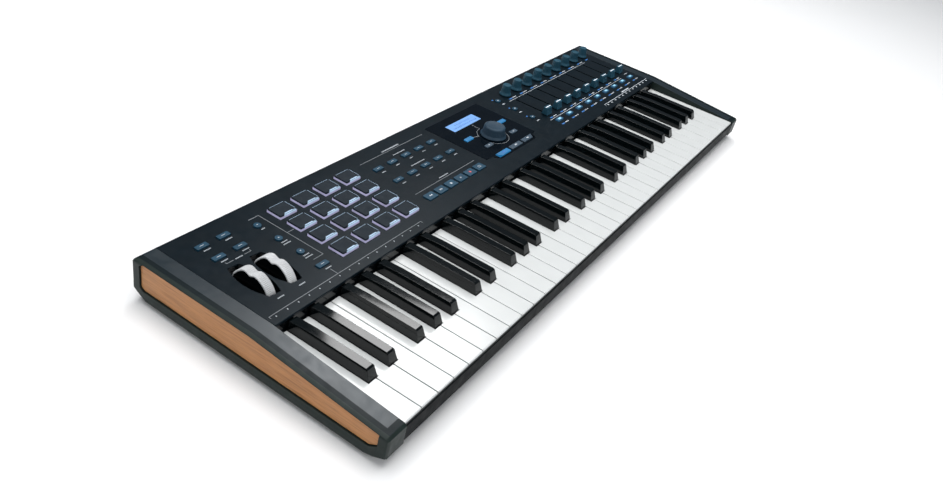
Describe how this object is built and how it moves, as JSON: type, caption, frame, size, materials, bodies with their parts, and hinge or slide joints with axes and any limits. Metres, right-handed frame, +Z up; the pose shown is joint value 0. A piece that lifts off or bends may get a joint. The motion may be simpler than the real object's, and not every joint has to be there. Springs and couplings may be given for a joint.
{
  "type": "keyboard synthesizer",
  "caption": "Wide keyboard synthesizer: slate metal panel over piano-style keys, wood-faced end cheeks, pads, wheels, screen, knobs and faders.",
  "frame": {"origin": "on the ground under the middle of the case", "axes": "+X to the player's right along the keys, +Y away from the player, +Z up"},
  "size_m": [0.895, 0.291, 0.0614],
  "materials": {
    "metal": "satin slate-blue powder coat",
    "frame": "satin charcoal moulding",
    "wood": "oiled brown hardwood",
    "key_white": "glossy white",
    "key_black": "glossy black",
    "gloss_black": "glossy black",
    "wheel": "white ribbed rim on black sides",
    "rubber": "soft slate-blue rubber",
    "button": "soft slate-blue rubber with printed marks",
    "lit_button": "lit translucent silicone",
    "screen": "lit liquid crystal display",
    "board": "green circuit board",
    "foot": "matt black"
  },
  "bodies": {
    "case": {"bottom_tray": "metal", "top_panel": "metal", "left_cheek": "frame", "right_cheek": "frame", "key_frame": "frame", "left_wood_inlay": "wood", "right_wood_inlay": "wood", "rear_socket_strip": "gloss_black", "front_rail": "gloss_black", "key_fascia": "gloss_black", "display_window": "gloss_black", "wheel_housing": "gloss_black", "pad_mat": "rubber", "lcd_screen": "screen", "main_board": "board", "front_left_foot": "foot", "front_right_foot": "foot", "rear_left_foot": "foot", "rear_right_foot": "foot"},
    "octave_1_naturals_outer": {"octave_1_naturals_outer": "key_white"},
    "octave_1_naturals_inner": {"octave_1_naturals_inner": "key_white"},
    "octave_1_sharps": {"octave_1_sharps": "key_black"},
    "octave_2_naturals_outer": {"octave_2_naturals_outer": "key_white"},
    "octave_2_naturals_inner": {"octave_2_naturals_inner": "key_white"},
    "octave_2_sharps": {"octave_2_sharps": "key_black"},
    "octave_3_naturals_outer": {"octave_3_naturals_outer": "key_white"},
    "octave_3_naturals_inner": {"octave_3_naturals_inner": "key_white"},
    "octave_3_sharps": {"octave_3_sharps": "key_black"},
    "octave_4_naturals_outer": {"octave_4_naturals_outer": "key_white"},
    "octave_4_naturals_inner": {"octave_4_naturals_inner": "key_white"},
    "octave_4_sharps": {"octave_4_sharps": "key_black"},
    "octave_5_naturals_outer": {"octave_5_naturals_outer": "key_white"},
    "octave_5_naturals_inner": {"octave_5_naturals_inner": "key_white"},
    "octave_5_sharps": {"octave_5_sharps": "key_black"},
    "left_buttons": {"left_buttons": "button"},
    "daw_buttons": {"daw_buttons": "button"},
    "navigator_buttons": {"navigator_buttons": "button"},
    "part_buttons": {"part_buttons": "button"},
    "select_buttons": {"select_buttons": "lit_button"},
    "pitch_wheel": {"pitch_wheel": "wheel"},
    "modulation_wheel": {"modulation_wheel": "wheel"},
    "menu_encoder": {"menu_encoder": "rubber"},
    "knob_1": {"knob_1": "rubber"},
    "knob_2": {"knob_2": "rubber"},
    "knob_3": {"knob_3": "rubber"},
    "knob_4": {"knob_4": "rubber"},
    "knob_5": {"knob_5": "rubber"},
    "knob_6": {"knob_6": "rubber"},
    "knob_7": {"knob_7": "rubber"},
    "knob_8": {"knob_8": "rubber"},
    "knob_9": {"knob_9": "rubber"},
    "fader_1": {"fader_1": "rubber"},
    "fader_2": {"fader_2": "rubber"},
    "fader_3": {"fader_3": "rubber"},
    "fader_4": {"fader_4": "rubber"},
    "fader_5": {"fader_5": "rubber"},
    "fader_6": {"fader_6": "rubber"},
    "fader_7": {"fader_7": "rubber"},
    "fader_8": {"fader_8": "rubber"},
    "fader_9": {"fader_9": "rubber"}
  },
  "joints": [
    {"name": "octave_1_naturals_outer_press", "type": "hinge", "parent": "case", "child": "octave_1_naturals_outer", "pos_m": [-0.34075, 0.0155, 0.0204], "axis": [1, 0, 0], "range_deg": [0, 3.6], "stiffness_Nm_per_rad": 2, "springref_deg": -11.46},
    {"name": "octave_1_naturals_inner_press", "type": "hinge", "parent": "case", "child": "octave_1_naturals_inner", "pos_m": [-0.34075, 0.0155, 0.0204], "axis": [1, 0, 0], "range_deg": [0, 3.6], "stiffness_Nm_per_rad": 2, "springref_deg": -11.46},
    {"name": "octave_1_sharps_press", "type": "hinge", "parent": "case", "child": "octave_1_sharps", "pos_m": [-0.34075, 0.0155, 0.0204], "axis": [1, 0, 0], "range_deg": [0, 3.6], "stiffness_Nm_per_rad": 2, "springref_deg": -11.46},
    {"name": "octave_2_naturals_outer_press", "type": "hinge", "parent": "case", "child": "octave_2_naturals_outer", "pos_m": [-0.17625, 0.0155, 0.0204], "axis": [1, 0, 0], "range_deg": [0, 3.6], "stiffness_Nm_per_rad": 2, "springref_deg": -11.46},
    {"name": "octave_2_naturals_inner_press", "type": "hinge", "parent": "case", "child": "octave_2_naturals_inner", "pos_m": [-0.17625, 0.0155, 0.0204], "axis": [1, 0, 0], "range_deg": [0, 3.6], "stiffness_Nm_per_rad": 2, "springref_deg": -11.46},
    {"name": "octave_2_sharps_press", "type": "hinge", "parent": "case", "child": "octave_2_sharps", "pos_m": [-0.17625, 0.0155, 0.0204], "axis": [1, 0, 0], "range_deg": [0, 3.6], "stiffness_Nm_per_rad": 2, "springref_deg": -11.46},
    {"name": "octave_3_naturals_outer_press", "type": "hinge", "parent": "case", "child": "octave_3_naturals_outer", "pos_m": [-0.01175, 0.0155, 0.0204], "axis": [1, 0, 0], "range_deg": [0, 3.6], "stiffness_Nm_per_rad": 2, "springref_deg": -11.46},
    {"name": "octave_3_naturals_inner_press", "type": "hinge", "parent": "case", "child": "octave_3_naturals_inner", "pos_m": [-0.01175, 0.0155, 0.0204], "axis": [1, 0, 0], "range_deg": [0, 3.6], "stiffness_Nm_per_rad": 2, "springref_deg": -11.46},
    {"name": "octave_3_sharps_press", "type": "hinge", "parent": "case", "child": "octave_3_sharps", "pos_m": [-0.01175, 0.0155, 0.0204], "axis": [1, 0, 0], "range_deg": [0, 3.6], "stiffness_Nm_per_rad": 2, "springref_deg": -11.46},
    {"name": "octave_4_naturals_outer_press", "type": "hinge", "parent": "case", "child": "octave_4_naturals_outer", "pos_m": [0.15275, 0.0155, 0.0204], "axis": [1, 0, 0], "range_deg": [0, 3.6], "stiffness_Nm_per_rad": 2, "springref_deg": -11.46},
    {"name": "octave_4_naturals_inner_press", "type": "hinge", "parent": "case", "child": "octave_4_naturals_inner", "pos_m": [0.15275, 0.0155, 0.0204], "axis": [1, 0, 0], "range_deg": [0, 3.6], "stiffness_Nm_per_rad": 2, "springref_deg": -11.46},
    {"name": "octave_4_sharps_press", "type": "hinge", "parent": "case", "child": "octave_4_sharps", "pos_m": [0.15275, 0.0155, 0.0204], "axis": [1, 0, 0], "range_deg": [0, 3.6], "stiffness_Nm_per_rad": 2, "springref_deg": -11.46},
    {"name": "octave_5_naturals_outer_press", "type": "hinge", "parent": "case", "child": "octave_5_naturals_outer", "pos_m": [0.31725, 0.0155, 0.0204], "axis": [1, 0, 0], "range_deg": [0, 3.6], "stiffness_Nm_per_rad": 2, "springref_deg": -11.46},
    {"name": "octave_5_naturals_inner_press", "type": "hinge", "parent": "case", "child": "octave_5_naturals_inner", "pos_m": [0.31725, 0.0155, 0.0204], "axis": [1, 0, 0], "range_deg": [0, 3.6], "stiffness_Nm_per_rad": 2, "springref_deg": -11.46},
    {"name": "octave_5_sharps_press", "type": "hinge", "parent": "case", "child": "octave_5_sharps", "pos_m": [0.31725, 0.0155, 0.0204], "axis": [1, 0, 0], "range_deg": [0, 3.6], "stiffness_Nm_per_rad": 2, "springref_deg": -11.46},
    {"name": "left_buttons_press", "type": "slide", "parent": "case", "child": "left_buttons", "axis": [0, 0, -1], "range_m": [0, 0.0012], "stiffness_N_per_m": 600, "springref_m": -0.002},
    {"name": "daw_buttons_press", "type": "slide", "parent": "case", "child": "daw_buttons", "axis": [0, 0, -1], "range_m": [0, 0.0012], "stiffness_N_per_m": 600, "springref_m": -0.002},
    {"name": "navigator_buttons_press", "type": "slide", "parent": "case", "child": "navigator_buttons", "axis": [0, 0, -1], "range_m": [0, 0.0012], "stiffness_N_per_m": 600, "springref_m": -0.002},
    {"name": "part_buttons_press", "type": "slide", "parent": "case", "child": "part_buttons", "axis": [0, 0, -1], "range_m": [0, 0.0012], "stiffness_N_per_m": 600, "springref_m": -0.002},
    {"name": "select_buttons_press", "type": "slide", "parent": "case", "child": "select_buttons", "axis": [0, 0, -1], "range_m": [0, 0.0012], "stiffness_N_per_m": 600, "springref_m": -0.002},
    {"name": "pitch_wheel_turn", "type": "hinge", "parent": "case", "child": "pitch_wheel", "pos_m": [-0.392, 0.0523, 0.0323], "axis": [1, 0, 0], "range_deg": [-38, 38], "stiffness_Nm_per_rad": 0.06},
    {"name": "modulation_wheel_turn", "type": "hinge", "parent": "case", "child": "modulation_wheel", "pos_m": [-0.365, 0.0523, 0.0323], "axis": [1, 0, 0], "range_deg": [-38, 38]},
    {"name": "menu_encoder_turn", "type": "hinge", "parent": "case", "child": "menu_encoder", "pos_m": [0.034, 0.0623, 0.05], "axis": [0, 0, 1], "continuous": true},
    {"name": "knob_1_turn", "type": "hinge", "parent": "case", "child": "knob_1", "pos_m": [0.1565, 0.1183, 0.05], "axis": [0, 0, 1], "continuous": true},
    {"name": "knob_2_turn", "type": "hinge", "parent": "case", "child": "knob_2", "pos_m": [0.1871, 0.1183, 0.05], "axis": [0, 0, 1], "continuous": true},
    {"name": "knob_3_turn", "type": "hinge", "parent": "case", "child": "knob_3", "pos_m": [0.2177, 0.1183, 0.05], "axis": [0, 0, 1], "continuous": true},
    {"name": "knob_4_turn", "type": "hinge", "parent": "case", "child": "knob_4", "pos_m": [0.2483, 0.1183, 0.05], "axis": [0, 0, 1], "continuous": true},
    {"name": "knob_5_turn", "type": "hinge", "parent": "case", "child": "knob_5", "pos_m": [0.2789, 0.1183, 0.05], "axis": [0, 0, 1], "continuous": true},
    {"name": "knob_6_turn", "type": "hinge", "parent": "case", "child": "knob_6", "pos_m": [0.3095, 0.1183, 0.05], "axis": [0, 0, 1], "continuous": true},
    {"name": "knob_7_turn", "type": "hinge", "parent": "case", "child": "knob_7", "pos_m": [0.3401, 0.1183, 0.05], "axis": [0, 0, 1], "continuous": true},
    {"name": "knob_8_turn", "type": "hinge", "parent": "case", "child": "knob_8", "pos_m": [0.3707, 0.1183, 0.05], "axis": [0, 0, 1], "continuous": true},
    {"name": "knob_9_turn", "type": "hinge", "parent": "case", "child": "knob_9", "pos_m": [0.4013, 0.1183, 0.05], "axis": [0, 0, 1], "continuous": true},
    {"name": "fader_1_slide", "type": "slide", "parent": "case", "child": "fader_1", "axis": [0, 1, 0], "range_m": [0, 0.045]},
    {"name": "fader_2_slide", "type": "slide", "parent": "case", "child": "fader_2", "axis": [0, 1, 0], "range_m": [0, 0.045]},
    {"name": "fader_3_slide", "type": "slide", "parent": "case", "child": "fader_3", "axis": [0, 1, 0], "range_m": [0, 0.045]},
    {"name": "fader_4_slide", "type": "slide", "parent": "case", "child": "fader_4", "axis": [0, 1, 0], "range_m": [0, 0.045]},
    {"name": "fader_5_slide", "type": "slide", "parent": "case", "child": "fader_5", "axis": [0, 1, 0], "range_m": [0, 0.045]},
    {"name": "fader_6_slide", "type": "slide", "parent": "case", "child": "fader_6", "axis": [0, 1, 0], "range_m": [0, 0.045]},
    {"name": "fader_7_slide", "type": "slide", "parent": "case", "child": "fader_7", "axis": [0, 1, 0], "range_m": [0, 0.045]},
    {"name": "fader_8_slide", "type": "slide", "parent": "case", "child": "fader_8", "axis": [0, 1, 0], "range_m": [0, 0.045]},
    {"name": "fader_9_slide", "type": "slide", "parent": "case", "child": "fader_9", "axis": [0, 1, 0], "range_m": [0, 0.045]}
  ]
}
